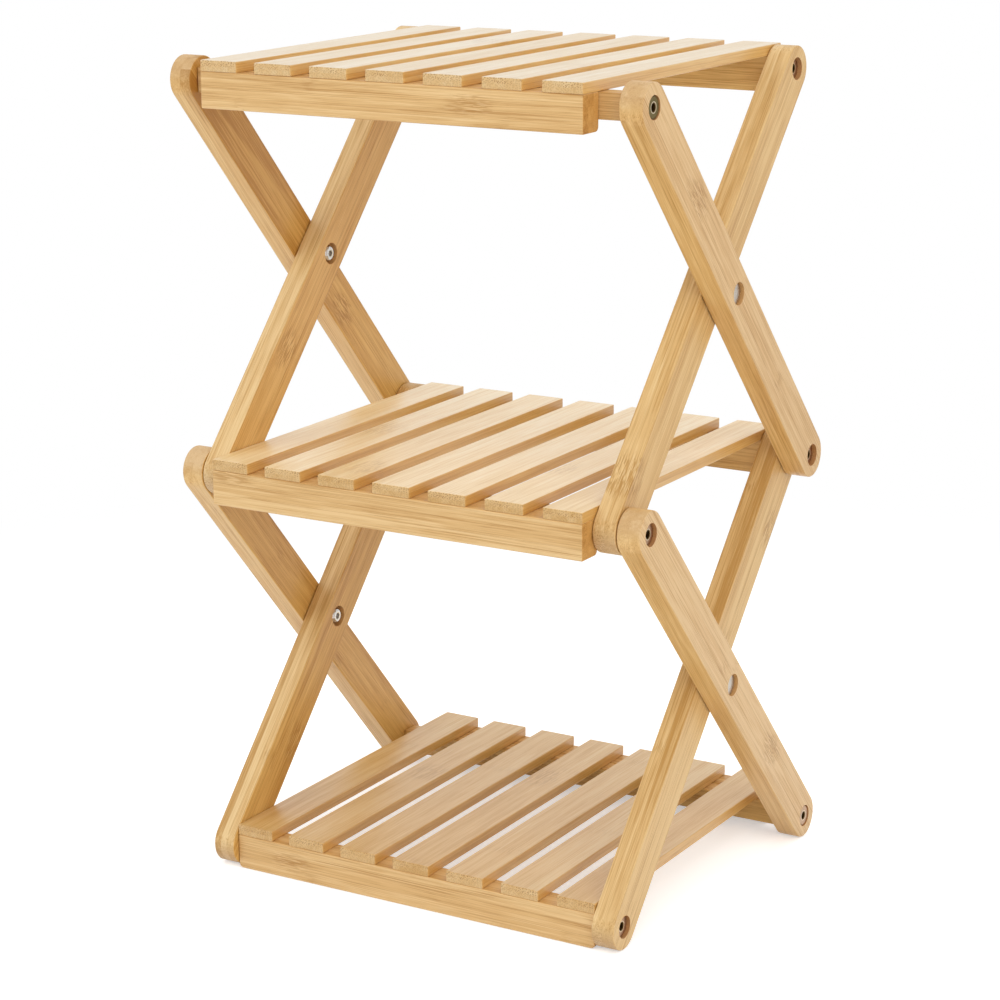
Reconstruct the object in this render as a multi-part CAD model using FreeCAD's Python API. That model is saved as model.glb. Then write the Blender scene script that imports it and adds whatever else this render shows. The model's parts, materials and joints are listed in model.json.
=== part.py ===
import FreeCAD, Part
import math
import os

from FreeCAD import Vector

os.makedirs("parts", exist_ok=True)

# Folding shelf with three slatted tiers on two stacked pairs of scissor legs.
# X runs along the rails, Y to the back, Z up. The origin is on the floor, in the middle.

# Tiers, mm
SLAT_COUNT = 7
SLAT_WIDTH = 35.0
SLAT_GAP = 17.0
SLAT_THICKNESS = 9.0
SLAT_CORNER = 1.0
SLAT_EDGE = 0.8
RAIL_DEPTH = 24.0
RAIL_EDGE = 0.8
RAIL_END_ROUND = 4.0
HOOK_LEAD_IN = 4.0

# Frame, mm
PIVOT_SPACING_Y = 294.0
TIER_RISE = 326.0
PIVOT_DROP = 10.5
LEG_WIDTH = 38.0
LEG_THICKNESS = 20.0
LEG_EDGE = 1.0
BAR_DEPTH = 18.0
BAR_EDGE = 0.8

# Clearances, mm
SIDE_CLEARANCE = 0.6
SPACER_GAP = 1.0
BAR_REST_CLEARANCE = 0.2
HOOK_CLEARANCE = 0.4
RUNNING_CLEARANCE = 0.06
FACE_CLEARANCE = 0.1

# Joint hardware, mm
BOLT_DIAMETER = 8.0
BOLT_HEAD_DIAMETER = 17.6
BOLT_HEAD_HEIGHT = 2.5
BOLT_HEAD_EDGE = 0.6
SOCKET_ACROSS_FLATS = 6.0
SOCKET_DEPTH = 4.5
SOCKET_MOUTH = 7.8
SOCKET_MOUTH_DEPTH = 0.4
RECESS_DIAMETER = 18.5
FLUSH_RECESS = 0.8
FRONT_RECESS = 2.8
BACK_RECESS = 3.6
INSERT_DIAMETER = 12.0
INSERT_LENGTH = 20.0
INSERT_COLLAR = 14.5
INSERT_COLLAR_HEIGHT = 1.5
BOLT_REACH = 24.0
BORE_SPARE = 2.0

# Centre pivots of the crossed legs, mm
SLEEVE_DIAMETER = 9.0
SLEEVE_BORE = 6.2
SLEEVE_DISC_HEIGHT = 2.0
PIVOT_SHANK = 6.0
PIVOT_REACH = 20.0
PIVOT_RECESS_INSIDE = 2.5
PIVOT_RECESS_OUTSIDE = 2.8
WASHER_DIAMETER = 17.0

# Derived places
TIER_WIDTH = SLAT_COUNT * SLAT_WIDTH + (SLAT_COUNT - 1) * SLAT_GAP
HALF_TIER = TIER_WIDTH / 2.0
LEG_RADIUS = LEG_WIDTH / 2.0
INNER_NEAR = HALF_TIER + SIDE_CLEARANCE
INNER_FAR = INNER_NEAR + LEG_THICKNESS
OUTER_NEAR = INNER_FAR + SPACER_GAP
OUTER_FAR = OUTER_NEAR + LEG_THICKNESS
FRONT_Y = -PIVOT_SPACING_Y / 2.0
BACK_Y = PIVOT_SPACING_Y / 2.0
BOTTOM_Z = LEG_RADIUS
MIDDLE_Z = BOTTOM_Z + TIER_RISE
TOP_Z = MIDDLE_Z + TIER_RISE
HOOK_NEAR = BAR_DEPTH / 2.0 + HOOK_CLEARANCE
HOOK_FAR = HOOK_NEAR + RAIL_DEPTH
BAR_HEIGHT = 2.0 * (PIVOT_DROP - BAR_REST_CLEARANCE)
BORE_DIAMETER = BOLT_DIAMETER + 2.0 * RUNNING_CLEARANCE
SLEEVE_HOLE = SLEEVE_DIAMETER + 2.0 * RUNNING_CLEARANCE

X_AXIS = Vector(1, 0, 0)


def rounded_face(corners, radii):
    """Flat face through the corners, each turned into an arc of its own radius."""
    count = len(corners)
    starts = []
    mids = []
    ends = []
    for i in range(count):
        here = corners[i]
        before = (corners[i - 1] - here).normalize()
        after = (corners[(i + 1) % count] - here).normalize()
        half = before.getAngle(after) / 2.0
        reach = radii[i] / math.tan(half)
        inward = (before + after).normalize()
        starts.append(here + before * reach)
        ends.append(here + after * reach)
        mids.append(here + inward * (radii[i] / math.sin(half) - radii[i]))
    edges = []
    for i in range(count):
        edges.append(Part.Arc(starts[i], mids[i], ends[i]).toShape())
        edges.append(Part.makeLine(ends[i], starts[(i + 1) % count]))
    return Part.Face(Part.Wire(edges))


def soften(solid, normal, radius):
    """Rounds the two outlines of a plate, the edges that lie in its faces along normal."""
    chosen = []
    faces = [f for f in solid.Faces if f.Surface.TypeId == "Part::GeomPlane"]
    for face in faces:
        if abs(face.normalAt(0, 0).dot(normal)) > 0.999:
            chosen.extend(face.Edges)
    return solid.makeFillet(radius, chosen)


def make_slat(left, front, underside, length):
    """One slat, its top and bottom outlines rounded."""
    right = left + SLAT_WIDTH
    back = front + length
    corners = [Vector(left, front, underside), Vector(right, front, underside),
               Vector(right, back, underside), Vector(left, back, underside)]
    plate = rounded_face(corners, [SLAT_CORNER] * 4).extrude(Vector(0, 0, SLAT_THICKNESS))
    return soften(plate, Vector(0, 0, 1), SLAT_EDGE)


def make_pivot_rail(axis_y, axis_z):
    """Rail that turns on bolts in its two ends, its lower end corners well rounded."""
    bottom = axis_z - LEG_RADIUS
    top = axis_z + PIVOT_DROP
    front = axis_y - RAIL_DEPTH / 2.0
    corners = [Vector(-HALF_TIER, front, bottom), Vector(HALF_TIER, front, bottom),
               Vector(HALF_TIER, front, top), Vector(-HALF_TIER, front, top)]
    radii = [RAIL_END_ROUND, RAIL_END_ROUND, SLAT_CORNER, SLAT_CORNER]
    rail = rounded_face(corners, radii).extrude(Vector(0, RAIL_DEPTH, 0))
    rail = soften(rail, Vector(0, 1, 0), RAIL_EDGE)
    return rail.cut(insert_seats(HALF_TIER, axis_y, axis_z))


def make_hook_rail(axis_y, axis_z, side):
    """Rail that drops over a cross bar. side is -1 in front of the bar and 1 behind it."""
    bottom = axis_z - LEG_RADIUS
    top = axis_z + PIVOT_DROP
    near = axis_y + side * HOOK_NEAR
    far = axis_y + side * HOOK_FAR
    corners = [Vector(-HALF_TIER, near, bottom), Vector(-HALF_TIER, far, bottom),
               Vector(-HALF_TIER, far, top), Vector(-HALF_TIER, near, top)]
    radii = [HOOK_LEAD_IN, SLAT_CORNER, SLAT_CORNER, SLAT_CORNER]
    rail = rounded_face(corners, radii).extrude(Vector(TIER_WIDTH, 0, 0))
    return soften(rail, X_AXIS, RAIL_EDGE)


def make_bar(half_length, axis_y, axis_z):
    """Cross bar that turns on bolts in its two ends and carries the loose side of a tier."""
    half_y = BAR_DEPTH / 2.0
    half_z = BAR_HEIGHT / 2.0
    corners = [Vector(-half_length, axis_y - half_y, axis_z - half_z),
               Vector(-half_length, axis_y + half_y, axis_z - half_z),
               Vector(-half_length, axis_y + half_y, axis_z + half_z),
               Vector(-half_length, axis_y - half_y, axis_z + half_z)]
    bar = rounded_face(corners, [SLAT_CORNER] * 4).extrude(Vector(2.0 * half_length, 0, 0))
    bar = soften(bar, X_AXIS, BAR_EDGE)
    return bar.cut(insert_seats(half_length, axis_y, axis_z))


def turned(profile, axis_y, axis_z):
    """Solid of revolution about an X axis through (axis_y, axis_z). profile lists (x, radius)."""
    points = [Vector(x, axis_y, axis_z + r) for x, r in profile]
    face = Part.Face(Part.makePolygon(points + points[:1]))
    return face.revolve(Vector(0, axis_y, axis_z), X_AXIS, 360)


def mirrored(solid):
    """The same piece on the left side."""
    return solid.mirror(Vector(0, 0, 0), X_AXIS)


def both_sides(solids):
    """Right-hand solids and their left-hand twins as one group."""
    return Part.makeCompound(solids + [mirrored(s) for s in solids])


def insert_seats(half_length, axis_y, axis_z):
    """Stepped holes for the insert nuts in both ends of a rail or bar."""
    depth = BOLT_REACH + BORE_SPARE
    end = half_length
    hole = turned([(end, 0), (end, INSERT_COLLAR / 2.0),
                   (end - INSERT_COLLAR_HEIGHT, INSERT_COLLAR / 2.0),
                   (end - INSERT_COLLAR_HEIGHT, INSERT_DIAMETER / 2.0),
                   (end - depth, INSERT_DIAMETER / 2.0), (end - depth, 0)], axis_y, axis_z)
    return both_sides([hole])


def make_insert(end, axis_y, axis_z):
    """Insert nut whose collar lies flush with the end of a rail or bar."""
    bore = BOLT_DIAMETER / 2.0 + RUNNING_CLEARANCE
    return turned([(end, bore), (end, INSERT_COLLAR / 2.0),
                   (end - INSERT_COLLAR_HEIGHT, INSERT_COLLAR / 2.0),
                   (end - INSERT_COLLAR_HEIGHT, INSERT_DIAMETER / 2.0),
                   (end - INSERT_LENGTH, INSERT_DIAMETER / 2.0), (end - INSERT_LENGTH, bore)],
                  axis_y, axis_z)


def hex_socket(face_x, inward, axis_y, axis_z):
    """Hexagon socket with a dished mouth, one corner up. inward is -1 in a head that faces +X, else 1."""
    radius = SOCKET_ACROSS_FLATS / math.sqrt(3.0)
    points = []
    for i in range(6):
        angle = math.radians(60.0 * i + 30.0)
        points.append(Vector(face_x, axis_y + radius * math.cos(angle), axis_z + radius * math.sin(angle)))
    hexagon = Part.Face(Part.makePolygon(points + points[:1]))
    prism = hexagon.extrude(Vector(inward * SOCKET_DEPTH, 0, 0))
    dish = turned([(face_x, 0), (face_x, SOCKET_MOUTH / 2.0),
                   (face_x + inward * SOCKET_MOUTH_DEPTH, radius),
                   (face_x + inward * SOCKET_MOUTH_DEPTH, 0)], axis_y, axis_z)
    return prism.fuse(dish)


def make_bolt(leg_face, recess, end, axis_y, axis_z):
    """Right-hand bolt: flat socket head sunk in a leg's face, shank into the insert behind end."""
    face_x = leg_face - recess
    under = face_x - BOLT_HEAD_HEIGHT
    tip = end - BOLT_REACH
    head = BOLT_HEAD_DIAMETER / 2.0
    shank = BOLT_DIAMETER / 2.0
    solid = turned([(face_x, 0), (face_x, head - BOLT_HEAD_EDGE), (face_x - BOLT_HEAD_EDGE, head),
                    (under, head), (under, shank), (tip + 1.0, shank), (tip, shank - 1.0), (tip, 0)],
                   axis_y, axis_z)
    return solid.cut(hex_socket(face_x, -1, axis_y, axis_z))


def make_washer(near, bore_diameter, axis_y, axis_z):
    """Spacer washer in the gap between an inner and an outer leg."""
    low = near + FACE_CLEARANCE / 2.0
    high = near + SPACER_GAP - FACE_CLEARANCE / 2.0
    bore = bore_diameter / 2.0
    rim = WASHER_DIAMETER / 2.0
    return turned([(low, bore), (low, rim), (high, rim), (high, bore)], axis_y, axis_z)


def bored(face_x, near_x, recess_floor, diameter, axis_y, axis_z):
    """Through hole from near_x to face_x with a round recess from face_x down to recess_floor."""
    beyond = 1.0 if face_x > near_x else -1.0
    hole = diameter / 2.0
    wide = RECESS_DIAMETER / 2.0
    return turned([(near_x - beyond, 0), (near_x - beyond, hole), (recess_floor, hole),
                   (recess_floor, wide), (face_x + beyond, wide), (face_x + beyond, 0)], axis_y, axis_z)


def plain_hole(near_x, far_x, diameter, axis_y, axis_z):
    """Through hole with no recess."""
    return turned([(near_x - 1.0, 0), (near_x - 1.0, diameter / 2.0),
                   (far_x + 1.0, diameter / 2.0), (far_x + 1.0, 0)], axis_y, axis_z)


def make_leg(near_x, first, second, holes):
    """Right-hand leg with full-round ends about its two end pivots, given as (y, z), less its holes."""
    a = Vector(near_x, first[0], first[1])
    b = Vector(near_x, second[0], second[1])
    along = (b - a).normalize()
    across = X_AXIS.cross(along) * LEG_RADIUS
    edges = [Part.makeLine(a + across, b + across),
             Part.Arc(b + across, b + along * LEG_RADIUS, b - across).toShape(),
             Part.makeLine(b - across, a - across),
             Part.Arc(a - across, a - along * LEG_RADIUS, a + across).toShape()]
    plank = Part.Face(Part.Wire(edges)).extrude(Vector(LEG_THICKNESS, 0, 0))
    leg = soften(plank, X_AXIS, LEG_EDGE)
    for hole in holes:
        leg = leg.cut(hole)
    return leg


def recess_floor(leg_face, recess, head_height):
    """Where a recess ends, so that a head of head_height lies recess below the leg's face."""
    return leg_face - recess - head_height - FACE_CLEARANCE


def make_outer_leg(front_z, back_z, front_recess, back_recess):
    """Right-hand outer leg, high at the front and low at the back."""
    mid_z = (front_z + back_z) / 2.0
    front_floor = recess_floor(OUTER_FAR, front_recess, BOLT_HEAD_HEIGHT)
    back_floor = recess_floor(OUTER_FAR, back_recess, BOLT_HEAD_HEIGHT)
    disc_floor = recess_floor(OUTER_FAR, PIVOT_RECESS_OUTSIDE, SLEEVE_DISC_HEIGHT)
    holes = [bored(OUTER_FAR, OUTER_NEAR, front_floor, BORE_DIAMETER, FRONT_Y, front_z),
             bored(OUTER_FAR, OUTER_NEAR, disc_floor, SLEEVE_HOLE, 0.0, mid_z),
             bored(OUTER_FAR, OUTER_NEAR, back_floor, BORE_DIAMETER, BACK_Y, back_z)]
    return make_leg(OUTER_NEAR, (FRONT_Y, front_z), (BACK_Y, back_z), holes)


def make_inner_leg(front_z, back_z, front_recess, back_recess):
    """Right-hand inner leg, low at the front and high at the back. A recess of None is a plain hole."""
    mid_z = (front_z + back_z) / 2.0
    pivot_floor = INNER_NEAR + PIVOT_RECESS_INSIDE + BOLT_HEAD_HEIGHT
    holes = [bored(INNER_NEAR, INNER_FAR, pivot_floor, SLEEVE_HOLE, 0.0, mid_z)]
    for axis_y, axis_z, recess in ((FRONT_Y, front_z, front_recess), (BACK_Y, back_z, back_recess)):
        if recess is None:
            holes.append(plain_hole(INNER_NEAR, INNER_FAR, BORE_DIAMETER, axis_y, axis_z))
        else:
            head_floor = recess_floor(INNER_FAR, recess, BOLT_HEAD_HEIGHT)
            holes.append(bored(INNER_FAR, INNER_NEAR, head_floor, BORE_DIAMETER, axis_y, axis_z))
    return make_leg(INNER_NEAR, (FRONT_Y, front_z), (BACK_Y, back_z), holes)


def make_sleeve(axis_z):
    """Sleeve nut of an X centre: disc sunk in the outer leg's face, barrel through both legs."""
    face_x = OUTER_FAR - PIVOT_RECESS_OUTSIDE
    under = face_x - SLEEVE_DISC_HEIGHT
    end = INNER_NEAR + PIVOT_RECESS_INSIDE + BOLT_HEAD_HEIGHT + FACE_CLEARANCE
    disc = BOLT_HEAD_DIAMETER / 2.0
    barrel = SLEEVE_DIAMETER / 2.0
    bore = SLEEVE_BORE / 2.0
    blind = end + PIVOT_REACH + BORE_SPARE
    return turned([(face_x, 0), (face_x, disc - BOLT_HEAD_EDGE), (face_x - BOLT_HEAD_EDGE, disc),
                   (under, disc), (under, barrel), (end, barrel), (end, bore), (blind, bore), (blind, 0)],
                  0.0, axis_z)


def make_pivot_bolt(axis_z):
    """Socket bolt of an X centre, sunk in the inner leg's inner face and screwed into the sleeve."""
    face_x = INNER_NEAR + PIVOT_RECESS_INSIDE
    under = face_x + BOLT_HEAD_HEIGHT
    tip = under + PIVOT_REACH
    head = BOLT_HEAD_DIAMETER / 2.0
    shank = PIVOT_SHANK / 2.0
    solid = turned([(face_x, 0), (face_x, head - BOLT_HEAD_EDGE), (face_x + BOLT_HEAD_EDGE, head),
                    (under, head), (under, shank), (tip, shank), (tip, 0)], 0.0, axis_z)
    return solid.cut(hex_socket(face_x, 1, 0.0, axis_z))


def save(node, shape):
    """Writes one named piece."""
    shape.exportStep("parts/" + node + ".step")


def save_pair(node, right):
    """Writes a right-hand piece and its left-hand twin as two pieces."""
    save(node + "_right", right)
    save(node + "_left", mirrored(right))


def build_tier(name, axis_z, hook_side):
    """Slats and rails of one tier. hook_side is -1 where the hook rail is at the front, 1 at the back."""
    front_y = FRONT_Y - HOOK_FAR if hook_side < 0 else FRONT_Y - RAIL_DEPTH / 2.0
    length = PIVOT_SPACING_Y + HOOK_FAR + RAIL_DEPTH / 2.0
    for i in range(SLAT_COUNT):
        left = -HALF_TIER + i * (SLAT_WIDTH + SLAT_GAP)
        save("%s_slat_%d" % (name, i + 1), make_slat(left, front_y, axis_z + PIVOT_DROP, length))
    if hook_side < 0:
        save(name + "_front_rail", make_hook_rail(FRONT_Y, axis_z, -1))
        save(name + "_back_rail", make_pivot_rail(BACK_Y, axis_z))
    else:
        save(name + "_front_rail", make_pivot_rail(FRONT_Y, axis_z))
        save(name + "_back_rail", make_hook_rail(BACK_Y, axis_z, 1))


# Tiers: the top and middle ones hook at the front, the bottom one at the back
build_tier("top", TOP_Z, -1)
build_tier("middle", MIDDLE_Z, -1)
build_tier("bottom", BOTTOM_Z, 1)

# Legs: each outer leg is high at the front, each inner leg is high at the back
save_pair("upper_outer_leg", make_outer_leg(TOP_Z, MIDDLE_Z, FLUSH_RECESS, BACK_RECESS))
save_pair("lower_outer_leg", make_outer_leg(MIDDLE_Z, BOTTOM_Z, FRONT_RECESS, FLUSH_RECESS))
save_pair("upper_inner_leg", make_inner_leg(MIDDLE_Z, TOP_Z, None, BACK_RECESS))
save_pair("lower_inner_leg", make_inner_leg(BOTTOM_Z, MIDDLE_Z, FRONT_RECESS, None))

# Cross bars: top and bottom ones between the outer legs, the middle one between the inner legs
OUTER_BAR_HALF = OUTER_NEAR - SIDE_CLEARANCE
INNER_BAR_HALF = INNER_NEAR - SIDE_CLEARANCE
save("top_cross_bar", make_bar(OUTER_BAR_HALF, FRONT_Y, TOP_Z))
save("middle_cross_bar", make_bar(INNER_BAR_HALF, FRONT_Y, MIDDLE_Z))
save("bottom_cross_bar", make_bar(OUTER_BAR_HALF, BACK_Y, BOTTOM_Z))

# Bolts and insert nuts of the six corner joints: name, leg face, recess, end of rail or bar, axis
JOINTS = [("top_front", OUTER_FAR, FLUSH_RECESS, OUTER_BAR_HALF, FRONT_Y, TOP_Z),
          ("top_back", INNER_FAR, BACK_RECESS, HALF_TIER, BACK_Y, TOP_Z),
          ("middle_front", OUTER_FAR, FRONT_RECESS, INNER_BAR_HALF, FRONT_Y, MIDDLE_Z),
          ("middle_back", OUTER_FAR, BACK_RECESS, HALF_TIER, BACK_Y, MIDDLE_Z),
          ("bottom_front", INNER_FAR, FRONT_RECESS, HALF_TIER, FRONT_Y, BOTTOM_Z),
          ("bottom_back", OUTER_FAR, FLUSH_RECESS, OUTER_BAR_HALF, BACK_Y, BOTTOM_Z)]
for joint, leg_face, recess, end, axis_y, axis_z in JOINTS:
    save(joint + "_bolts", both_sides([make_bolt(leg_face, recess, end, axis_y, axis_z)]))
    save(joint + "_insert_nuts", both_sides([make_insert(end, axis_y, axis_z)]))

# Centre pivots of the two Xs on each side
for level, axis_z in (("lower", (BOTTOM_Z + MIDDLE_Z) / 2.0), ("upper", (MIDDLE_Z + TOP_Z) / 2.0)):
    save(level + "_pivot_bolts", both_sides([make_pivot_bolt(axis_z)]))
    save(level + "_pivot_sleeves", both_sides([make_sleeve(axis_z)]))
    save(level + "_pivot_washers", both_sides([make_washer(INNER_FAR, SLEEVE_HOLE, 0.0, axis_z)]))

# Spacer washers where an inner and an outer leg share a corner bolt
for joint, axis_y in (("middle_front", FRONT_Y), ("middle_back", BACK_Y)):
    save(joint + "_washers", both_sides([make_washer(INNER_FAR, BORE_DIAMETER, axis_y, MIDDLE_Z)]))
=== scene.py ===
import json
import math

import bmesh
import bpy
from mathutils import Matrix, Vector


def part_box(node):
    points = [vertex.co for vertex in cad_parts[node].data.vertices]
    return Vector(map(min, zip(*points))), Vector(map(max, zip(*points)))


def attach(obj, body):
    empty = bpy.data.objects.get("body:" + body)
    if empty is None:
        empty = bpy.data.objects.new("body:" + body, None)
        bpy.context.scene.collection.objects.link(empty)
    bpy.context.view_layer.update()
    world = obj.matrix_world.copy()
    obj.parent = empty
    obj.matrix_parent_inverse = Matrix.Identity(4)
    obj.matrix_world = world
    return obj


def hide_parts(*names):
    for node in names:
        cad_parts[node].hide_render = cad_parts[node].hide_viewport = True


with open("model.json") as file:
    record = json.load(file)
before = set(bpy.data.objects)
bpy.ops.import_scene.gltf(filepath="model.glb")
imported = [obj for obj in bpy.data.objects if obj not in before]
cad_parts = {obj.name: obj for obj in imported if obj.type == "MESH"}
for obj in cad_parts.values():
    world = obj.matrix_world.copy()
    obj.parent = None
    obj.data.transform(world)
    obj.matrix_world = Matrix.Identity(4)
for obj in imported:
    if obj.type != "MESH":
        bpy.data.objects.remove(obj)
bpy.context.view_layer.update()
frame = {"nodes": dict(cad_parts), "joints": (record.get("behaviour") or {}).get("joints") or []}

nodes = frame["nodes"]
pivots = {joint["name"]: Vector(joint["pos_m"]) for joint in frame["joints"]}
tiers = ("top", "middle", "bottom")
mm = 0.001
print("frame loaded:", len(nodes), "nodes")


# node helpers: a value may be a number, a colour or another node's socket
def plug(tree, value, socket):
    if isinstance(value, bpy.types.NodeSocket):
        tree.links.new(value, socket)
    else:
        socket.default_value = value


def addNode(tree, kind, inputs, **settings):
    node = tree.nodes.new("ShaderNode" + kind)
    for key, value in settings.items():
        setattr(node, key, value)
    for key, value in inputs.items():
        plug(tree, value, node.inputs[key])
    return node


def calc(tree, operation, *values):
    node = addNode(tree, "Math", dict(enumerate(values)), operation=operation)
    return node.outputs["Value"]


def ease(tree, value, low, high, start=0.0, end=1.0):
    inputs = {"Value": value, "From Min": low, "From Max": high, "To Min": start, "To Max": end}
    node = addNode(tree, "MapRange", inputs, interpolation_type="SMOOTHSTEP")
    return node.outputs["Result"]


def blendColour(tree, amount, first, second, way="MIX"):
    node = addNode(tree, "Mix", {0: amount, 6: first, 7: second}, data_type="RGBA", blend_type=way)
    return node.outputs[2]


def stretched(tree, place, scale, shift):
    scaled = addNode(tree, "VectorMath", {0: place, 1: scale}, operation="MULTIPLY")
    moved = addNode(tree, "VectorMath", {0: scaled.outputs[0], 1: shift}, operation="ADD")
    return moved.outputs[0]


def noise(tree, vector, detail=2.0, rough=0.5, warp=0.0):
    inputs = {"Vector": vector, "Scale": 1.0, "Detail": detail, "Roughness": rough, "Distortion": warp}
    return addNode(tree, "TexNoise", inputs).outputs["Fac"]


# one bamboo board in its own axes: x along the fibres, y across its strips, z through its layers
boardSockets = {
    "place": "NodeSocketVector",
    "facing": "NodeSocketVector",
    "seed": "NodeSocketFloat",
    "tone": "NodeSocketFloat",           # below nought is paler, above is darker
    "drift": "NodeSocketFloat",          # the tone added at the far end of the board
    "halfSize": "NodeSocketVector",      # half the board's length, width and thickness
    "stripCount": "NodeSocketFloat",
    "layerCount": "NodeSocketFloat",
    "stripTones": "NodeSocketVector",    # tones of the first three strips
    "layerTones": "NodeSocketVector",    # tones of the layers, where an edge or an end shows them
    "contrast": "NodeSocketFloat",
    "dotLayer": "NodeSocketFloat",       # the layer whose cut fibres show most as dots
    "endDots": "NodeSocketFloat",
    "knuckleShift": "NodeSocketFloat",
    "markAt": "NodeSocketVector",        # one strong knuckle and its half size
    "markSize": "NodeSocketVector",
    "markDepth": "NodeSocketFloat",
    "holeReach": "NodeSocketFloat",      # from the middle hole to the holes near the ends
    "holeRadius": "NodeSocketFloat",
    "pale": "NodeSocketColor",
    "honey": "NodeSocketColor",
    "deep": "NodeSocketColor",
    "faceTint": "NodeSocketColor",       # tints of the +z face, the edges and the ends
    "edgeTint": "NodeSocketColor",
    "endTint": "NodeSocketColor",
}
bamboo = {
    "knuckleGap": 0.245,        # metres between the knuckles of one strip
    "knuckleLength": 0.011,
    "fleck": (0.37, 0.172, 0.032, 1),
    "glint": (0.80, 0.60, 0.36, 1),
    "glueLine": 0.0003,
    # the recess colours below are the cut wall's brown with painted shade of the drilled recess laid in
    "endRecessShade": (0.40, 0.165, 0.052, 1),
    "middleRecessShade": (0.56, 0.29, 0.10, 1),
    "recessShadeDepth": 0.8,
    "paleToHoney": (0.0, 0.55),      # tones over which one colour turns into the next
    "honeyToDeep": (0.5, 1.15),
    "pencilCut": (0.55, 0.61),       # fibre values at which a line, dash or dot starts and is full
    "dashCut": (0.48, 0.57),
    "glintCut": (0.47, 0.37),
    "patchCut": (0.42, 0.62),
    "dotCut": (0.14, 0.46),
    "dotScale": 620.0,
    "dotScatter": 0.85,
    "dotBase": 0.4,                  # dots of every layer, and what the dotted layer adds
    "dotLayerBase": 0.1,
    "dotLayerPatch": 0.5,
    "markCut": (0.55, 1.20),
    "markRagged": 0.9,
    "knuckleWander": 0.02,
    "knuckleStrength": (0.10, 0.60),
    "knuckleTone": 0.25,
    "pencilDepth": 0.70,
    "glueDepth": 0.30,
    "glintDepth": 0.5,
    "roughness": 0.34,
    "fineRoughness": 0.14,           # what the fibres, the ends and the recesses add
    "endRoughness": 0.14,
    "recessRoughness": 0.25,
}
fibres = {                           # scale along, across and through, then detail, roughness and warp
    "fine": ((26, 1250, 1250), 3.0, 0.6, 0.0),
    "streak": ((6, 400, 400), 2.0, 0.55, 0.0),
    "flame": ((12, 150, 150), 2.0, 0.5, 0.7),
    "broad": ((3.2, 70, 70), 1.0, 0.5, 0.0),
    "patch": ((30, 95, 95), 1.0, 0.5, 0.0),
    "pencil": ((7, 1700, 1700), 1.0, 0.4, 0.0),
    "dashes": ((90, 980, 980), 1.0, 0.5, 0.5),
}
swings = {"luck": 0.22, "streak": 0.95, "flame": 0.85, "broad": 0.8, "fine": 1.6}
reliefs = {"fine": 0.35, "seam": -0.25, "pencil": -0.25, "dash": -0.35, "dot": -0.6}


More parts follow.
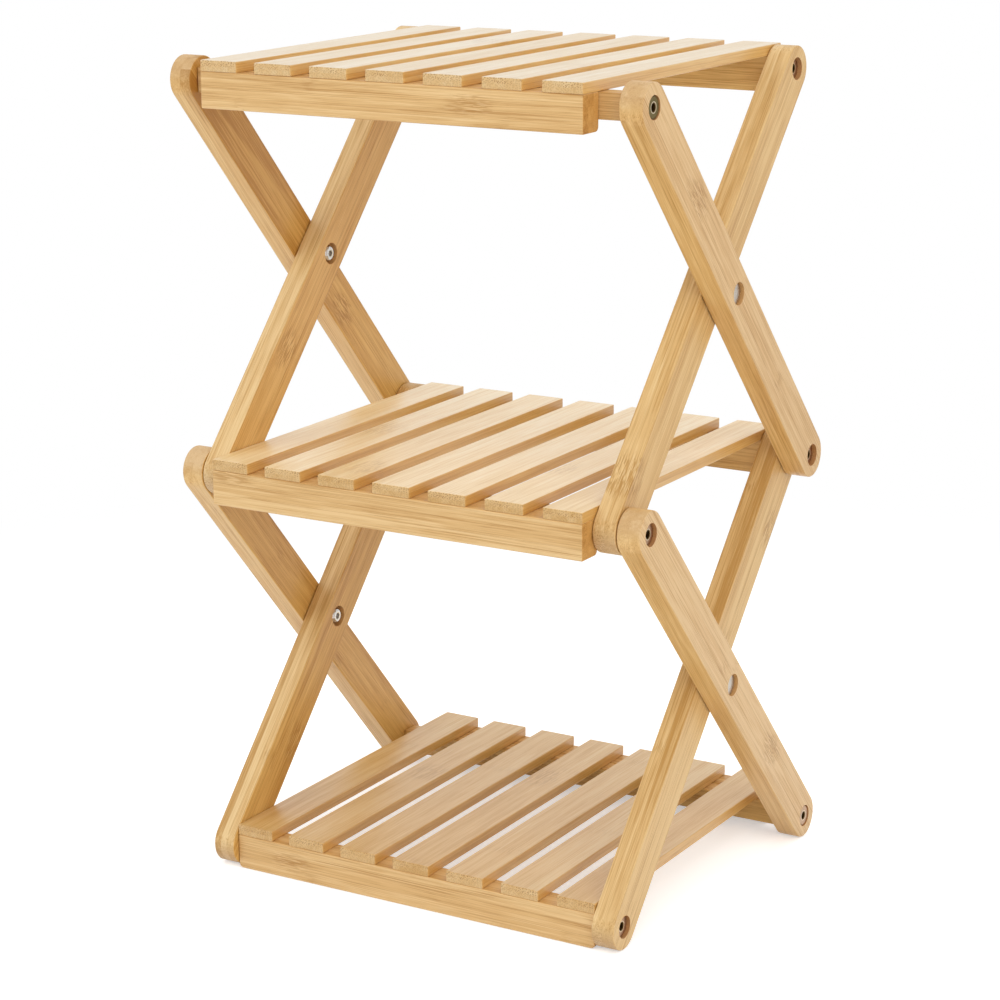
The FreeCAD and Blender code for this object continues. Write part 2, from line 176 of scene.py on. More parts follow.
def makeBambooBoard():
    tree = bpy.data.node_groups.new("bambooBoard", "ShaderNodeTree")
    for name, kind in boardSockets.items():
        tree.interface.new_socket(name=name, in_out="INPUT", socket_type=kind)
    tree.interface.new_socket(name="colour", in_out="OUTPUT", socket_type="NodeSocketColor")
    tree.interface.new_socket(name="roughness", in_out="OUTPUT", socket_type="NodeSocketFloat")
    tree.interface.new_socket(name="height", in_out="OUTPUT", socket_type="NodeSocketFloat")
    given = tree.nodes.new("NodeGroupInput").outputs
    result = tree.nodes.new("NodeGroupOutput").inputs

    def axesOf(vector):
        return addNode(tree, "SeparateXYZ", {"Vector": vector}).outputs

    def times(first, second):
        return calc(tree, "MULTIPLY", first, second)

    def plus(first, second):
        return calc(tree, "ADD", first, second)

    def absolute(value):
        return calc(tree, "ABSOLUTE", value)

    axes = axesOf(given["place"])
    along, across, through = axes["X"], axes["Y"], axes["Z"]
    facing = axesOf(given["facing"])
    sideTurn, topTurn = (0.30, 0.95), (0.45, 0.90)     # how far a face looks that way
    endFace = ease(tree, absolute(facing["X"]), *sideTurn)
    edgeFace = ease(tree, absolute(facing["Y"]), *sideTurn)
    topFace = ease(tree, facing["Z"], *topTurn)

    # glued strips and layers, each with its own tone and random numbers
    def cellsOf(value, half, count):
        share = calc(tree, "DIVIDE", plus(value, half), times(half, 2.0))
        inside = calc(tree, "MINIMUM", calc(tree, "MAXIMUM", share, 0.0001), 0.9999)
        return times(inside, count)

    half = axesOf(given["halfSize"])
    strips = cellsOf(across, half["Y"], given["stripCount"])
    layers = cellsOf(through, half["Z"], given["layerCount"])
    strip = calc(tree, "FLOOR", strips)
    layer = calc(tree, "FLOOR", layers)

    def toneOf(index, tones):
        parts = axesOf(tones)
        total = 0.0
        for number, key in enumerate("XYZ"):
            here = calc(tree, "COMPARE", index, float(number), 0.3)
            total = plus(total, times(here, parts[key]))
        return total

    cellName = addNode(tree, "CombineXYZ", {"X": layer, "Y": strip, "Z": given["seed"]}).outputs[0]
    chance = addNode(tree, "TexWhiteNoise", {"Vector": cellName}, noise_dimensions="3D")
    luck = addNode(tree, "SeparateColor", {"Color": chance.outputs["Color"]}).outputs
    cellShift = addNode(tree, "VectorMath", {0: chance.outputs["Color"], 1: (37.0, 53.0, 71.0)},
                        operation="MULTIPLY").outputs[0]
    seedShift = addNode(tree, "CombineXYZ", dict.fromkeys("XYZ", given["seed"])).outputs[0]
    shift = addNode(tree, "VectorMath", {0: cellShift, 1: seedShift}, operation="ADD").outputs[0]

    # a glue line lies between two cells, so the outer faces have none
    def seamOf(cells, halfWidth, count):
        last = calc(tree, "SUBTRACT", count, 1.0)
        joint = calc(tree, "MINIMUM", calc(tree, "ROUND", cells), last)
        joint = calc(tree, "MAXIMUM", joint, 1.0)
        near = absolute(calc(tree, "SUBTRACT", cells, joint))
        gap = calc(tree, "DIVIDE", times(near, times(halfWidth, 2.0)), count)
        several = calc(tree, "GREATER_THAN", count, 1.5)
        return times(ease(tree, gap, 0.0, bamboo["glueLine"], 1.0, 0.0), several)

    layerSeam = seamOf(layers, half["Z"], given["layerCount"])
    stripSeam = seamOf(strips, half["Y"], given["stripCount"])
    seam = calc(tree, "MAXIMUM", layerSeam, stripSeam)
    seam = times(seam, ease(tree, endFace, 0.0, 0.5, 1.0, 0.15))     # faint on the ends

    # fibres: long streaks that become dots where the board is cut across
    def fibre(kind):
        scale, detail, rough, warp = fibres[kind]
        return noise(tree, stretched(tree, given["place"], scale, shift), detail, rough, warp)

    def centred(value):
        return calc(tree, "SUBTRACT", value, 0.5)

    def calmed(value, keep):     # less of a swing where the board is cut across
        return plus(0.5, times(centred(value), ease(tree, endFace, 0.0, 0.9, 1.0, keep)))

    fine = calmed(fibre("fine"), 0.35)
    streak = calmed(fibre("streak"), 0.5)
    flame = fibre("flame")
    broad = fibre("broad")
    patch = ease(tree, fibre("patch"), *bamboo["patchCut"])
    pencil = ease(tree, fibre("pencil"), *bamboo["pencilCut"])
    pencil = times(pencil, ease(tree, flame, 0.35, 0.60, 0.25, 1.0))
    pencil = times(pencil, ease(tree, endFace, 0.0, 0.8, 1.0, 0.1))
    crossCut = addNode(tree, "CombineXYZ", {"X": across, "Y": through}).outputs[0]
    spread = {"Vector": crossCut, "Scale": bamboo["dotScale"], "Randomness": bamboo["dotScatter"]}
    bundle = addNode(tree, "TexVoronoi", spread, voronoi_dimensions="2D").outputs["Distance"]
    dotted = plus(bamboo["dotLayerBase"], times(patch, bamboo["dotLayerPatch"]))
    dotted = times(calc(tree, "COMPARE", layer, given["dotLayer"], 0.3), dotted)
    dotted = plus(bamboo["dotBase"], dotted)
    dot = times(ease(tree, bundle, *bamboo["dotCut"], 1.0, 0.0), ease(tree, endFace, 0.10, 0.60))
    dot = times(dot, times(given["endDots"], dotted))

    # knuckles: faint ones along each strip, and one strong mark, all of short dashes along the fibres
    wander = times(centred(flame), bamboo["knuckleWander"])
    reach = plus(plus(along, wander), given["knuckleShift"])
    turns = plus(calc(tree, "DIVIDE", reach, bamboo["knuckleGap"]), luck["Green"])
    offset = centred(calc(tree, "FRACT", turns))
    distance = times(absolute(offset), bamboo["knuckleGap"])
    band = ease(tree, distance, 0.0, bamboo["knuckleLength"], 1.0, 0.0)
    band = times(band, ease(tree, luck["Blue"], 0.30, 0.95, *bamboo["knuckleStrength"]))
    toMark = {0: given["place"], 1: given["markAt"]}
    away = addNode(tree, "VectorMath", toMark, operation="SUBTRACT").outputs[0]
    away = addNode(tree, "VectorMath", {0: away, 1: given["markSize"]}, operation="DIVIDE").outputs[0]
    away = addNode(tree, "VectorMath", {0: away}, operation="LENGTH").outputs["Value"]
    ragged = plus(away, times(centred(streak), bamboo["markRagged"]))
    mark = ease(tree, ragged, *bamboo["markCut"], 1.0, 0.0)
    knuckle = calc(tree, "MAXIMUM", band, mark)
    dashes = fibre("dashes")
    dark = times(knuckle, ease(tree, dashes, *bamboo["dashCut"]))
    light = times(knuckle, ease(tree, dashes, *bamboo["glintCut"]))

    # colour: pale to honey to deep, by the mix of all of these
    sides = calc(tree, "MAXIMUM", endFace, edgeFace)
    shade = plus(plus(0.5, given["tone"]), toneOf(strip, given["stripTones"]))
    shade = plus(shade, times(given["drift"], calc(tree, "DIVIDE", along, half["X"])))
    shade = plus(shade, times(sides, toneOf(layer, given["layerTones"])))
    swinging = {"luck": luck["Red"], "streak": streak, "flame": flame, "broad": broad, "fine": fine}
    swing = 0.0
    for name, value in swinging.items():
        swing = plus(swing, times(centred(value), swings[name]))
    shade = plus(shade, times(swing, given["contrast"]))
    shade = plus(shade, times(knuckle, times(given["markDepth"], bamboo["knuckleTone"])))
    colour = blendColour(tree, ease(tree, shade, *bamboo["paleToHoney"]), given["pale"], given["honey"])
    colour = blendColour(tree, ease(tree, shade, *bamboo["honeyToDeep"]), colour, given["deep"])
    layered = (
        (times(pencil, times(given["contrast"], bamboo["pencilDepth"])), given["deep"]),
        (times(seam, bamboo["glueDepth"]), bamboo["fleck"]),
        (times(dark, given["markDepth"]), bamboo["fleck"]),
        (times(light, times(given["markDepth"], bamboo["glintDepth"])), bamboo["glint"]),
        (dot, bamboo["fleck"]),
    )
    for amount, paint in layered:
        colour = blendColour(tree, amount, colour, paint)
    tints = ((topFace, given["faceTint"]), (edgeFace, given["edgeTint"]), (endFace, given["endTint"]))
    for amount, tint in tints:
        colour = blendColour(tree, amount, colour, tint, "MULTIPLY")

    # drilled recesses: brown walls round each bolt, partly the cut wall's own brown and partly painted
    # shade of the recess, darker in the end recesses
    toMiddle = absolute(along)
    toEnd = absolute(calc(tree, "SUBTRACT", toMiddle, given["holeReach"]))
    nearest = calc(tree, "MINIMUM", toMiddle, toEnd)
    ring = calc(tree, "SQRT", plus(calc(tree, "POWER", nearest, 2.0), calc(tree, "POWER", across, 2.0)))
    drilled = calc(tree, "LESS_THAN", ring, given["holeRadius"])
    nearEnd = calc(tree, "LESS_THAN", toEnd, toMiddle)
    shadedWall = blendColour(tree, nearEnd, bamboo["middleRecessShade"], bamboo["endRecessShade"])
    colour = blendColour(tree, times(drilled, bamboo["recessShadeDepth"]), colour, shadedWall)

    # roughness and relief
    rough = plus(bamboo["roughness"], times(fine, bamboo["fineRoughness"]))
    rough = plus(rough, times(endFace, bamboo["endRoughness"]))
    rough = plus(rough, times(drilled, bamboo["recessRoughness"]))
    raised = {"fine": fine, "seam": seam, "pencil": pencil, "dash": dark, "dot": dot}
    height = 0.0
    for name, value in raised.items():
        height = plus(height, times(value, reliefs[name]))
    plug(tree, colour, result["colour"])
    plug(tree, rough, result["roughness"])
    plug(tree, height, result["height"])
    return tree


bambooBoard = makeBambooBoard()
print("bamboo board node group made")


def boardTurn(alongWay, throughWay):
    x = Vector(alongWay).normalized()
    z = Vector(throughWay).normalized()
    y = z.cross(x)
    return Matrix((x, y, z)).transposed().to_euler()


def bambooFinish(name, centre, turn, board, lacquer):
    material = bpy.data.materials.new("bamboo_" + name)
    material.use_nodes = True
    tree = material.node_tree
    shader = tree.nodes["Principled BSDF"]
    coords = addNode(tree, "TexCoord", {}).outputs
    laid = {"Vector": coords["Object"], "Location": centre, "Rotation": turn}
    place = addNode(tree, "Mapping", laid, vector_type="TEXTURE")
    faced = {"Vector": coords["Normal"], "Rotation": turn}
    facing = addNode(tree, "Mapping", faced, vector_type="TEXTURE")
    grain = tree.nodes.new("ShaderNodeGroup")
    grain.node_tree = bambooBoard
    for key, value in {"place": place.outputs[0], "facing": facing.outputs[0], **board}.items():
        plug(tree, value, grain.inputs[key])
    felt = {"Strength": lacquer["relief"], "Distance": lacquer["reliefDepth"]}
    bump = addNode(tree, "Bump", {"Height": grain.outputs["height"], **felt})
    plug(tree, grain.outputs["colour"], shader.inputs["Base Color"])
    plug(tree, grain.outputs["roughness"], shader.inputs["Roughness"])
    plug(tree, bump.outputs[0], shader.inputs["Normal"])
    shader.inputs["IOR"].default_value = lacquer["ior"]
    shader.inputs["Specular IOR Level"].default_value = lacquer["gloss"]
    shader.inputs["Coat Weight"].default_value = lacquer["coat"]
    shader.inputs["Coat Roughness"].default_value = lacquer["coatRoughness"]
    return material


def dress(node, material):
    mesh = nodes[node].data
    mesh.materials.clear()
    mesh.materials.append(material)


def middleOf(node):
    low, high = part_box(node)
    return (low + high) / 2


def halfOf(node, alongAxis, acrossAxis, throughAxis):
    low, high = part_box(node)
    return [(high[axis] - low[axis]) / 2 for axis in (alongAxis, acrossAxis, throughAxis)]


# slats: fibres run front to back, two thin layers
noMark = (10.0, 0, 0)
noTint = (1, 1, 1, 1)
slatBoard = {
    "stripCount": 1.0,
    "layerCount": 2.0,
    "layerTones": (0.04, -0.04, 0.0),
    "contrast": 1.15,
    "dotLayer": 1.0,
    "endDots": 0.78,
    "holeReach": 10.0,
    "markSize": (24 * mm, 17 * mm, 60 * mm),
    "markDepth": 0.32,
    "pale": (0.84, 0.635, 0.40, 1),
    "honey": (0.79, 0.545, 0.29, 1),
    "deep": (0.67, 0.41, 0.155, 1),
    "edgeTint": (0.86, 0.72, 0.41, 1),
    "endTint": (0.81, 0.765, 0.60, 1),
}
slatLacquer = {"ior": 1.5, "gloss": 0.5, "coat": 0.55, "coatRoughness": 0.30, "relief": 0.3,
               "reliefDepth": 0.3 * mm}
slatTones = {
    "top": (-0.10, -0.04, -0.12, -0.02, -0.08, -0.04, -0.10),
    "middle": (0.04, -0.06, 0.08, -0.06, 0.0, 0.08, 0.10),
    "bottom": (0.12, 0.04, 0.0, 0.18, -0.04, -0.02, 0.16),
}
# each tier's slat tops get their own painted light: the middle tier lightened, the bottom tier darkened as
# painted shade of the tiers above
slatTopPaintedLight = {
    "top": (0.89, 1.0, 1.15, 1),
    "middle": (1.11, 1.22, 1.28, 1),
    "bottom": (0.85, 0.80, 0.62, 1),
}
slatDrifts = {"top": 0.0, "middle": -0.2, "bottom": -0.1}
slatSeeds = {"slat": 3.1, "tier": 29.0, "knuckle": 0.03}     # steps that make each slat's grain its own
slatMarks = {                    # a strong knuckle: metres from the slat's middle, back and right
    "middle_slat_2": (-0.010, 0.004, 0),
    "middle_slat_3": (-0.130, -0.004, 0),
    "middle_slat_6": (-0.055, 0.015, 0),
    "bottom_slat_2": (0.020, -0.002, 0),
    "bottom_slat_4": (0.060, 0.005, 0),
    "top_slat_3": (0.070, -0.004, 0),
}
for tier in tiers:
    for number, tone in enumerate(slatTones[tier], start=1):
        node = tier + "_slat_" + str(number)
        board = {**slatBoard, "tone": tone, "halfSize": halfOf(node, 1, 0, 2)}
        board["seed"] = slatSeeds["slat"] * number + slatSeeds["tier"] * tiers.index(tier)
        board["knuckleShift"] = slatSeeds["knuckle"] * number
        board["markAt"] = slatMarks.get(node, noMark)
        board["faceTint"] = slatTopPaintedLight[tier]
        board["drift"] = slatDrifts[tier]
        turn = boardTurn((0, 1, 0), (0, 0, 1))
        dress(node, bambooFinish(node, middleOf(node), turn, board, slatLacquer))
print("slats finished")


# rails and cross bars: fibres run left to right, strips stacked in height
railBoard = {
    "stripCount": 3.0,
    "layerCount": 3.0,
    "layerTones": (-0.06, 0.02, 0.22),   # from the back layer forward
    "contrast": 1.0,
    "dotLayer": 2.0,
    "endDots": 0.35,
    "holeReach": 10.0,
    "markSize": (24 * mm, 9 * mm, 60 * mm),
    "markDepth": 0.42,
    "pale": (0.765, 0.525, 0.250, 1),
    "honey": (0.67, 0.42, 0.17, 1),
    "deep": (0.445, 0.230, 0.062, 1),
    "edgeTint": (1.0, 0.95, 0.85, 1),
    "endTint": (0.86, 0.70, 0.44, 1),
}
woodLacquer = {"ior": 1.5, "gloss": 0.4, "coat": 0.12, "coatRoughness": 0.25, "relief": 0.3,
               "reliefDepth": 0.3 * mm}
shadedTint = (1.04, 1.05, 0.86, 1)       # painted warm shade on the faces that look out between the tiers
railLooks = {                    # tones from the lowest strip up
    "top_front_rail": {"tone": 0.0, "strips": (0.02, -0.03, 0.06), "mark": (0.075, 0.001, 0)},
    "middle_front_rail": {"tone": -0.12, "strips": (-0.04, 0.08, 0.06), "mark": (-0.155, 0.012, 0)},
    "bottom_front_rail": {"tone": -0.14, "strips": (0.04, 0.12, -0.22), "mark": (-0.120, 0.000, 0)},
    # the back rails' darker tones and shadedTint are painted shade under the tiers
    "top_back_rail": {"tone": 0.08, "strips": (0.0, 0.05, -0.04), "tint": shadedTint},
    "middle_back_rail": {"tone": 0.08, "strips": (0.05, -0.05, 0.04), "tint": shadedTint},
    "bottom_back_rail": {"tone": 0.04, "strips": (0.0, 0.06, 0.0), "tint": shadedTint},
    "top_cross_bar": {"tone": 0.02, "strips": (0.12, -0.06, 0.02)},
    "middle_cross_bar": {"tone": 0.04, "strips": (0.0, 0.05, -0.04)},
    "bottom_cross_bar": {"tone": 0.08, "strips": (0.05, 0.0, 0.05), "tint": shadedTint},
}
railSeeds = {"start": 7.7, "step": 5.9, "knuckle": 0.05}
for number, (node, look) in enumerate(railLooks.items()):
    board = {**railBoard, "tone": look["tone"], "stripTones": look["strips"]}
    board["markAt"] = look.get("mark", noMark)
    board["faceTint"] = look.get("tint", noTint)
    board["halfSize"] = halfOf(node, 0, 2, 1)
    board["seed"] = railSeeds["start"] + railSeeds["step"] * number
    board["knuckleShift"] = railSeeds["knuckle"] * number
    turn = boardTurn((1, 0, 0), (0, -1, 0))
    dress(node, bambooFinish(node, middleOf(node), turn, board, woodLacquer))
print("rails and cross bars finished")


# legs: fibres run from pivot to pivot, layers through the thickness
legBoard = {
    "stripCount": 3.0,
    "layerCount": 2.0,
    "stripTones": (0.05, -0.05, 0.03),
    "contrast": 1.05,
    "dotLayer": 0.0,
    "endDots": 0.60,
    "holeRadius": 9.35 * mm,
    "markSize": (21 * mm, 13 * mm, 60 * mm),
    "markDepth": 0.64,
    "pale": (0.735, 0.495, 0.240, 1),
    "honey": (0.648, 0.398, 0.165, 1),
    "deep": (0.465, 0.238, 0.065, 1),
    "endTint": (0.91, 0.94, 1.02, 1),
}
legHalfWidth = 19 * mm
outerEndDots = 0.2
insidePaintedShade = (1.04, 0.97, 0.63, 1)       # painted warm shade on the left legs' inner faces, which look into the shelf
goldenTint = (1.06, 1.00, 0.74, 1)
warmTint = (1.0, 0.99, 0.87, 1)
# the inner legs' front edges are lightened as painted light, the outer legs' under edges warmed as painted
# bounce light from below
frontEdgePaintedLight = (1.05, 1.12, 1.14, 1)
underEdgePaintedBounce = (1.08, 1.07, 0.93, 1)
legEnds = {
    "upper_outer_leg": ("top_bar_turn", "middle_shelf_swing", underEdgePaintedBounce),
    "upper_inner_leg": ("top_shelf_swing", "middle_front_turn", frontEdgePaintedLight),
    "lower_outer_leg": ("middle_front_turn", "lower_outer_turn", underEdgePaintedBounce),
    "lower_inner_leg": ("middle_shelf_swing", "bottom_shelf_swing", frontEdgePaintedLight),
}
# the left legs' darker tones and the drifts, which darken a leg's upper end, are painted shade under the
# shelves
legLooks = {                     # layer tones run from left to right, strips from the under side up
    "upper_outer_leg_right": {"tone": -0.14, "layers": (0.12, 0.16, 0.0), "mark": (-0.112, 0.004, 0)},
    "upper_outer_leg_left": {"tone": 0.06, "layers": (-0.40, -0.30, 0.0), "tint": insidePaintedShade,
                             "drift": -0.36, "mark": (0.075, -0.004, 0)},
    "upper_inner_leg_right": {"tone": -0.12, "layers": (-0.02, 0.06, 0.0), "tint": warmTint,
                              "mark": (0.182, -0.017, 0)},
    "upper_inner_leg_left": {"tone": 0.02, "layers": (-0.23, -0.18, 0.0), "tint": goldenTint,
                             "drift": -0.12, "mark": (0.100, -0.004, 0)},
    "lower_outer_leg_right": {"tone": -0.34, "layers": (0.24, 0.24, 0.0), "mark": (0.110, 0.004, 0)},
    "lower_outer_leg_left": {"tone": 0.06, "layers": (-0.42, -0.32, 0.0), "tint": insidePaintedShade},
    "lower_inner_leg_right": {"tone": -0.36, "drift": -0.22, "layers": (0.30, 0.76, 0.0), "tint": warmTint,
                              "mark": (-0.150, 0.012, 0)},
    "lower_inner_leg_left": {"tone": 0.02, "layers": (0.25, -0.30, 0.04), "tint": insidePaintedShade,
                             "layerCount": 3.0, "mark": (0.120, 0.012, 0)},
}
legSeeds = {"start": 5.3, "step": 6.7, "knuckle": 0.04}
for number, (node, look) in enumerate(legLooks.items()):
    upperEnd, lowerEnd, edgeTint = legEnds[node.rsplit("_", 1)[0]]
    run = pivots[lowerEnd] - pivots[upperEnd]
    centre = (pivots[upperEnd] + pivots[lowerEnd]) / 2
    centre.x = middleOf(node).x
    low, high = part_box(node)
    halfThickness = (high.x - low.x) / 2
    board = {**legBoard, "tone": look["tone"], "layerTones": look["layers"], "edgeTint": edgeTint}
    board["layerCount"] = look.get("layerCount", legBoard["layerCount"])
    board["markAt"] = look.get("mark", noMark)
    board["drift"] = look.get("drift", 0.0)
    board["faceTint"] = look.get("tint", noTint)
    if "_outer_" in node:
        board["endDots"] = outerEndDots
    board["halfSize"] = (run.length / 2, legHalfWidth, halfThickness)
    board["holeReach"] = run.length / 2
    board["seed"] = legSeeds["start"] + legSeeds["step"] * number
    board["knuckleShift"] = legSeeds["knuckle"] * number
    turn = boardTurn(run, (1, 0, 0))
    dress(node, bambooFinish(node, centre, turn, board, woodLacquer))
print("legs finished")


# bolts, sleeves, inserts and washers; a socket takes its own colour inside its own radius, dark as painted
# shade of the hollow on the corner bolts
metalFinishes = {
    "nickel": {"colour": (0.60, 0.56, 0.50), "roughness": 0.24, "worn": 0.14, "metallic": 1.0},
    # the bolts' pinkish tan is painted reflection of the wood round them on nickel plating
    "nickelPaintedWoodReflection": {"colour": (0.48, 0.315, 0.200), "roughness": 0.26, "worn": 0.14, "metallic": 1.0},
    # dark olive gold: painted reflection of dark surroundings on the same plated bolts
    "nickelPaintedDarkReflection": {"colour": (0.17, 0.125, 0.035), "roughness": 0.30, "worn": 0.16, "metallic": 1.0},
    "polished": {"colour": (0.66, 0.645, 0.62), "roughness": 0.10, "worn": 0.10, "metallic": 1.0},
    "zinc": {"colour": (0.57, 0.57, 0.55), "roughness": 0.38, "worn": 0.18, "metallic": 1.0},
    "nylon": {"colour": (0.78, 0.75, 0.67), "roughness": 0.48, "worn": 0.08, "metallic": 0.0},
}
socket = {
    "radius": 3.85 * mm,
    # painted shade inside the corner bolts' sockets
    "dark": (0.16, 0.092, 0.032, 1),
    "bright": (0.55, 0.53, 0.50, 1),
    "rim": 1.0 * mm,                 # painted highlight, bright round the socket's edge
    "rimInner": 0.4,
    "rimColour": (0.68, 0.57, 0.40, 1),
}
plating = {
    "cloudScale": (420, 420, 420),
    "cloudShift": (3.0, 5.0, 7.0),
    "cloudCut": (0.35, 0.75),
    "cloudDepth": 0.8,
    "dull": (0.74, 0.72, 0.68),      # of the bright colour
    "latheScale": 2600.0,            # turning marks round the axis
    "detail": (3.0, 2.0),            # of the clouds and of the turning marks
    "rough": 0.6,
    "cloudShare": 0.6,
    "latheShare": 0.4,
    "wearCut": (0.3, 0.7),
    "socketRoughness": 0.2,
    "relief": 0.10,
    "reliefDepth": 0.1 * mm,
}


def smallPartFinish(name, finish, centre, socketRadius, socketColour):
    material = bpy.data.materials.new(name)
    material.use_nodes = True
    tree = material.node_tree
    shader = tree.nodes["Principled BSDF"]
    laid = {"Vector": addNode(tree, "TexCoord", {}).outputs["Object"], "Location": centre}
    place = addNode(tree, "Mapping", laid, vector_type="TEXTURE").outputs[0]
    sides = addNode(tree, "SeparateXYZ", {"Vector": place}).outputs
    squares = [calc(tree, "POWER", sides[key], 2.0) for key in "YZ"]
    ring = calc(tree, "SQRT", calc(tree, "ADD", *squares))
    cloudDetail, latheDetail = plating["detail"]
    cloud = stretched(tree, place, plating["cloudScale"], plating["cloudShift"])
    cloud = noise(tree, cloud, cloudDetail, plating["rough"])
    lathe = calc(tree, "MULTIPLY", ring, plating["latheScale"])
    lathe = addNode(tree, "CombineXYZ", {"X": lathe}).outputs[0]
    lathe = noise(tree, lathe, latheDetail, plating["rough"])
    bright = (*finish["colour"], 1)
    dull = (*(part * share for part, share in zip(finish["colour"], plating["dull"])), 1)
    amount = calc(tree, "MULTIPLY", ease(tree, cloud, *plating["cloudCut"]), plating["cloudDepth"])
    colour = blendColour(tree, amount, bright, dull)
    # a painted highlight ring round the socket
    if socketRadius:
        rimStart = socketRadius + socket["rimInner"] * socket["rim"]
        rim = ease(tree, ring, rimStart, socketRadius + socket["rim"], 1.0, 0.0)
        colour = blendColour(tree, rim, colour, socket["rimColour"])
    # socket colour: painted shade on the corner bolts, bright metal on the domed bolts
    sunk = calc(tree, "LESS_THAN", ring, socketRadius)
    colour = blendColour(tree, sunk, colour, socketColour)
    cloudPart = calc(tree, "MULTIPLY", cloud, plating["cloudShare"])
    mixed = calc(tree, "ADD", cloudPart, calc(tree, "MULTIPLY", lathe, plating["latheShare"]))
    worn = finish["roughness"] + finish["worn"]
    rough = ease(tree, mixed, *plating["wearCut"], finish["roughness"], worn)
    rough = calc(tree, "ADD", rough, calc(tree, "MULTIPLY", sunk, plating["socketRoughness"]))
    felt = {"Height": lathe, "Strength": plating["relief"], "Distance": plating["reliefDepth"]}
    bump = addNode(tree, "Bump", felt)
    plug(tree, colour, shader.inputs["Base Color"])
    plug(tree, rough, shader.inputs["Roughness"])
    plug(tree, bump.outputs[0], shader.inputs["Normal"])
    shader.inputs["Metallic"].default_value = finish["metallic"]
    return material


smallKinds = {"_washers": "nylon", "_insert_nuts": "zinc", "_bolts": "nickelPaintedWoodReflection", "_sleeves": "nickel"}
# the top front bolts are painted darker as a painted reflection
oddBolts = {"top_front_bolts": "nickelPaintedDarkReflection"}
for node in nodes:
    for ending, kind in smallKinds.items():
        if node.endswith(ending):
            kind = oddBolts.get(node, kind)
            radius = socket["radius"] if ending == "_bolts" else 0.0
            finish = metalFinishes[kind]
            name = node + "_" + kind
            dress(node, smallPartFinish(name, finish, middleOf(node), radius, socket["dark"]))
print("metal and small parts finished")


# domed bolts of the X centres, standing in the inner legs' recesses
domedBolt = {
    "headRadius": 7.3 * mm,
    "sunk": 0.5 * mm,            # from the leg's inner face down to the top of the dome
    "dome": 3.6 * mm,
    "domeSteps": 7,
    "lip": 0.8 * mm,             # flat ring round the socket
    "lipDrop": 0.35 * mm,
    "socketSides": 6,
    "socketRadius": 2.9 * mm,    # to the corners of the hexagon
    "socketDepth": 2.2 * mm,
    "shankRadius": 3.0 * mm,
    "shankLength": 20.0 * mm,
    "roundSides": 48,
    "smoothAngle": 32.0,
}


def pickFaces(piece, wanted):
    bpy.context.tool_settings.mesh_select_mode = (False, False, True)
    bpy.ops.mesh.select_all(action="DESELECT")
    mesh = bmesh.from_edit_mesh(piece.data)
    for face in mesh.faces:
        face.select_set(wanted(face))
    bmesh.update_edit_mesh(piece.data)


def addRod(sides, radius, start, end, axis):
    bpy.ops.object.select_all(action="DESELECT")
    middle = ((start + end) / 2, axis.y, axis.z)
    bpy.ops.mesh.primitive_cylinder_add(vertices=sides, radius=radius, depth=abs(end - start),
                                        location=middle, rotation=(0, math.pi / 2, 0))
    bpy.ops.object.transform_apply(location=True, rotation=True, scale=True)
    return bpy.context.active_object


def addDomedBolt(node, leg, side):
    axis = middleOf(node)
    low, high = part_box(node)
    tip = high.x if side > 0 else low.x
    seat = tip - side * domedBolt["shankLength"]
    legLow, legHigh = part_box(leg)
    top = (legLow.x if side > 0 else legHigh.x) + side * domedBolt["sunk"]
    bolt = addRod(domedBolt["roundSides"], domedBolt["headRadius"], seat, top, axis)
    bpy.ops.object.mode_set(mode="EDIT")
    pickFaces(bolt, lambda face: face.normal.x * side < -0.9)
    bpy.ops.mesh.bevel(offset=domedBolt["dome"], segments=domedBolt["domeSteps"], affect="EDGES")
    pickFaces(bolt, lambda face: face.normal.x * side < -0.999)
    bpy.ops.mesh.inset(thickness=domedBolt["lip"])
    bpy.ops.transform.translate(value=(side * domedBolt["lipDrop"], 0, 0))
    pickFaces(bolt, lambda face: face.normal.x * side > 0.9)
    bpy.ops.mesh.inset(thickness=domedBolt["headRadius"] - domedBolt["shankRadius"])
    shank = (side * domedBolt["shankLength"], 0, 0)
    bpy.ops.mesh.extrude_region_move(TRANSFORM_OT_translate={"value": shank})
    bpy.ops.object.mode_set(mode="OBJECT")
    depth = side * domedBolt["socketDepth"]
    key = addRod(domedBolt["socketSides"], domedBolt["socketRadius"], top - depth, top + depth, axis)
    socketCut = bolt.modifiers.new("socketCut", "BOOLEAN")
    socketCut.operation = "DIFFERENCE"
    socketCut.object = key
    bpy.context.view_layer.objects.active = bolt
    bpy.ops.object.modifier_apply(modifier="socketCut")
    bpy.data.objects.remove(key)
    return bolt


def makeDomedBolts(level):
    node = level + "_pivot_bolts"
    body = level + "_inner_legs"
    right = addDomedBolt(node, level + "_inner_leg_right", 1)
    left = addDomedBolt(node, level + "_inner_leg_left", -1)
    bpy.ops.object.select_all(action="DESELECT")
    left.select_set(True)
    right.select_set(True)
    bpy.context.view_layer.objects.active = right
    bpy.ops.object.join()
    right.name = level + "_pivot_domed_bolts"
    bpy.ops.object.shade_smooth_by_angle(angle=math.radians(domedBolt["smoothAngle"]))
    finish = metalFinishes["polished"]
    radius = domedBolt["socketRadius"]
    material = smallPartFinish(right.name, finish, middleOf(node), radius, socket["bright"])
    right.data.materials.append(material)
    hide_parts(node)
    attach(right, body)


for level in ("upper", "lower"):
    makeDomedBolts(level)
print("domed pivot bolts made")


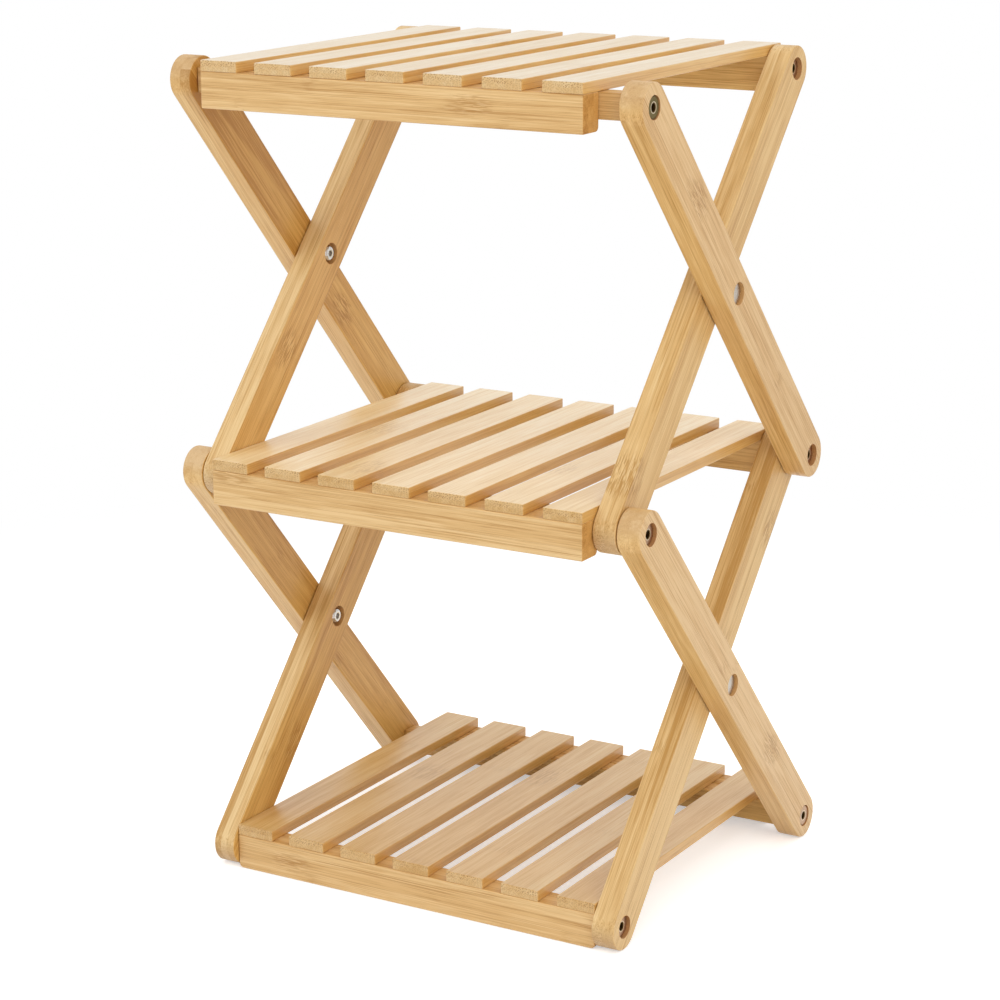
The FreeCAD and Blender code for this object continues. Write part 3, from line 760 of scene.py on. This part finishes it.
# floor and world: white to the camera, plain soft light for the object
stageSet = {
    "floorSize": 14.0,
    "floorDrop": 0.4 * mm,           # below the part's feet
    "floorColour": (0.86, 0.86, 0.86, 1),
    "floorGlow": 0.46,
    "shadowReach": (0.45, 1.25),     # metres from the middle over which the floor turns plain white
    "sky": 0.575,
    "lampAim": (0, 0, 0.35),
}
white = (1, 1, 1, 1)


def seenRay(tree):               # rays that show the white surroundings
    ray = addNode(tree, "LightPath", {}).outputs
    seen = calc(tree, "MAXIMUM", ray["Is Camera Ray"], ray["Is Glossy Ray"])
    return calc(tree, "MAXIMUM", seen, ray["Is Transmission Ray"])


def makeFloor():
    bpy.ops.object.select_all(action="DESELECT")
    bpy.ops.mesh.primitive_plane_add(size=stageSet["floorSize"], location=(0, 0, -stageSet["floorDrop"]))
    floor = bpy.context.active_object
    floor.name = "floor"
    material = bpy.data.materials.new("floorWhite")
    material.use_nodes = True
    tree = material.node_tree
    tree.nodes.remove(tree.nodes["Principled BSDF"])
    matt = addNode(tree, "BsdfDiffuse", {"Color": stageSet["floorColour"]})
    seen = seenRay(tree)
    glowing = calc(tree, "MULTIPLY", seen, stageSet["floorGlow"])
    glow = addNode(tree, "Emission", {"Color": white, "Strength": glowing})
    near = addNode(tree, "AddShader", {0: matt.outputs[0], 1: glow.outputs[0]})
    far = addNode(tree, "Emission", {"Color": white, "Strength": 1.0})
    place = addNode(tree, "TexCoord", {}).outputs["Object"]
    ring = addNode(tree, "VectorMath", {0: place}, operation="LENGTH").outputs["Value"]
    away = calc(tree, "MULTIPLY", seen, ease(tree, ring, *stageSet["shadowReach"]))
    whole = addNode(tree, "MixShader", {0: away, 1: near.outputs[0], 2: far.outputs[0]})
    plug(tree, whole.outputs[0], tree.nodes["Material Output"].inputs["Surface"])
    floor.data.materials.append(material)


def makeSky():
    world = bpy.data.worlds.new("studioSky")
    bpy.context.scene.world = world
    world.use_nodes = True
    tree = world.node_tree
    levels = {0: seenRay(tree), 2: stageSet["sky"], 3: 1.0}
    strength = addNode(tree, "Mix", levels, data_type="FLOAT").outputs[0]
    backdrop = tree.nodes["Background"]
    backdrop.inputs["Color"].default_value = white
    plug(tree, strength, backdrop.inputs["Strength"])


makeFloor()
makeSky()
lamps = {
    "softBoxRight": {"place": (1.9, -1.5, 1.9), "size": 3.0, "power": 43.5},
    "softBoxLeft": {"place": (-1.7, -1.5, 1.7), "size": 2.8, "power": 26.0},
    "softBoxBack": {"place": (0.2, 1.4, 2.2), "size": 2.4, "power": 14.0},
}
for name, lamp in lamps.items():
    bpy.ops.object.light_add(type="AREA", location=lamp["place"])
    light = bpy.context.active_object
    light.name = name
    light.data.size = lamp["size"]
    light.data.energy = lamp["power"]
    light.visible_glossy = False     # the lacquer mirrors the white surroundings, not the lamps
    aim = Vector(stageSet["lampAim"]) - Vector(lamp["place"])
    light.rotation_euler = aim.to_track_quat("-Z", "Y").to_euler()
print("floor, sky and lamps placed")


# camera at the photograph's viewing angle
view = {
    "azimuth": 30.72,
    "elevation": 13.93,
    "roll": -0.31,
    "distance": 2.3627,
    "aim": (0.0069, -0.0219, 0.3516),
    "sensor": 36.0,
    "focal": 2.826,             # focal length over the picture's width
    "shiftY": -0.04,
}


def makeCamera():
    turn, rise, roll = (math.radians(view[key]) for key in ("azimuth", "elevation", "roll"))
    back = Vector((math.sin(turn) * math.cos(rise), -math.cos(turn) * math.cos(rise), math.sin(rise)))
    right = Vector((math.cos(turn), math.sin(turn), 0))
    up = back.cross(right)
    rolledRight = right * math.cos(roll) + up * math.sin(roll)
    rolledUp = up * math.cos(roll) - right * math.sin(roll)
    turned = Matrix((rolledRight, rolledUp, back)).transposed().to_euler()
    bpy.ops.object.camera_add(location=Vector(view["aim"]) + back * view["distance"], rotation=turned)
    camera = bpy.context.active_object
    camera.data.sensor_width = view["sensor"]
    camera.data.lens = view["focal"] * camera.data.sensor_width
    camera.data.shift_y = view["shiftY"]
    bpy.context.scene.camera = camera


makeCamera()
bpy.context.scene.view_settings.view_transform = "Standard"
print("camera placed")
